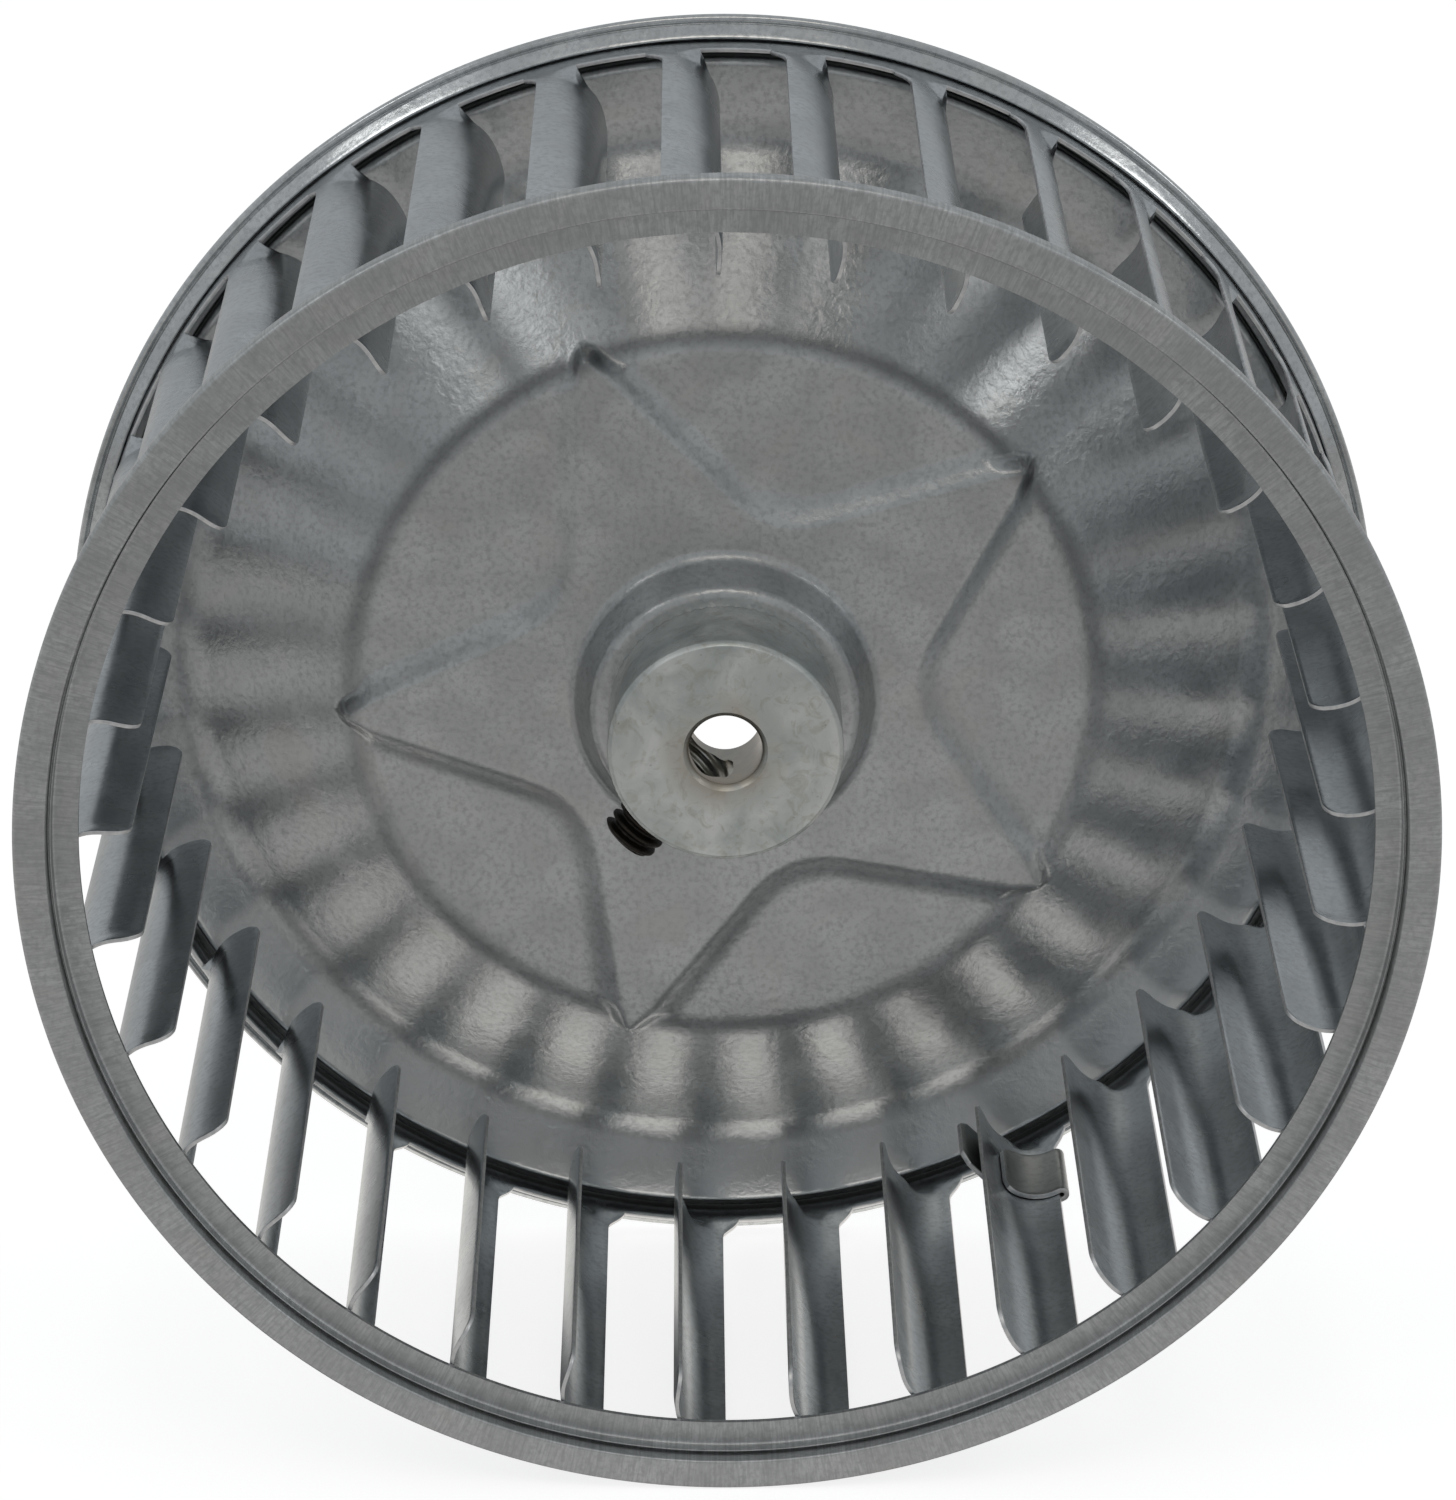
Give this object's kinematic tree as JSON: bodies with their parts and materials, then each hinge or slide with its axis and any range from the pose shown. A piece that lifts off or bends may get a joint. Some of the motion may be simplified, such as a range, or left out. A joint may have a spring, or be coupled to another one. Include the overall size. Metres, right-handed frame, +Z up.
{
  "type": "blower motor wheel",
  "caption": "Forward-curved centrifugal wheel of galvanised sheet, open at the inlet, with a dished back plate, star pockets, rolled end seams and a set-screw hub.",
  "frame": {"origin": "on the wheel axis at mid width", "axes": "+Y along the wheel axis from the open inlet towards the back plate, +Z up, +X to the right as seen from the inlet"},
  "size_m": [0.146, 0.0612, 0.146],
  "materials": {
    "galvanised_sheet": "galvanised, faint spangle, fairly glossy",
    "zinc_plated_hub": "turned and zinc plated",
    "black_oxide": "black oxide, slightly oily",
    "clip_steel": "plain zinc-coated strip"
  },
  "bodies": {
    "wheel": {"front_end_ring": "galvanised_sheet", "blade_strip": "galvanised_sheet", "back_plate": "galvanised_sheet", "hub": "zinc_plated_hub", "balance_clip": "clip_steel"},
    "set_screw": {"set_screw": "black_oxide"}
  },
  "joints": [
    {"name": "set_screw_travel", "type": "slide", "parent": "wheel", "child": "set_screw", "axis": [-0.6561, 0, -0.7547], "range_m": [-0.0025, 0.005]}
  ]
}
